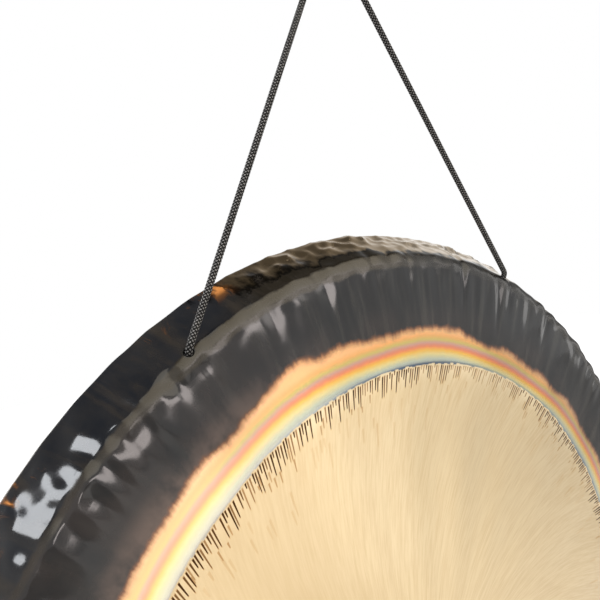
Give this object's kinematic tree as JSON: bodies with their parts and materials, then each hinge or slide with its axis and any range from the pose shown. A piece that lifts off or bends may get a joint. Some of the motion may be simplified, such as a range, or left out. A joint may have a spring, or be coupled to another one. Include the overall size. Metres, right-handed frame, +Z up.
{
  "type": "tam-tam gong",
  "caption": "Round hammered bronze gong with a crowned face and a turned-back rim, hung by a braided cord that is knotted through holes in its shoulder and passes over an S-hook.",
  "frame": {"origin": "middle of the hook's upper bend, on the axis of the bar that it hangs on", "axes": "+Z up, +X to the right as seen from the front, +Y from the face to the back; the face looks along -Y"},
  "size_m": [0.8119, 0.0662, 1.1272],
  "materials": {
    "bronze": "hammered, dark oxide on the rim and shoulder, lathed bright disc in the middle",
    "cord": "braided black nylon",
    "hook_steel": "zinc plated"
  },
  "bodies": {
    "hook": {"s_hook": "hook_steel"},
    "sling": {"hanging_cord": "cord"},
    "gong": {"gong_plate": "bronze", "left_cord_end": "cord", "right_cord_end": "cord"}
  },
  "joints": [
    {"name": "swing", "type": "hinge", "parent": "hook", "child": "sling", "pos_m": [0, 0, -0.047], "axis": [1, 0, 0], "range_deg": [-25, 25]},
    {"name": "tilt", "type": "hinge", "parent": "sling", "child": "gong", "pos_m": [0, 0, -0.339], "axis": [1, 0, 0], "range_deg": [-20, 20]}
  ]
}
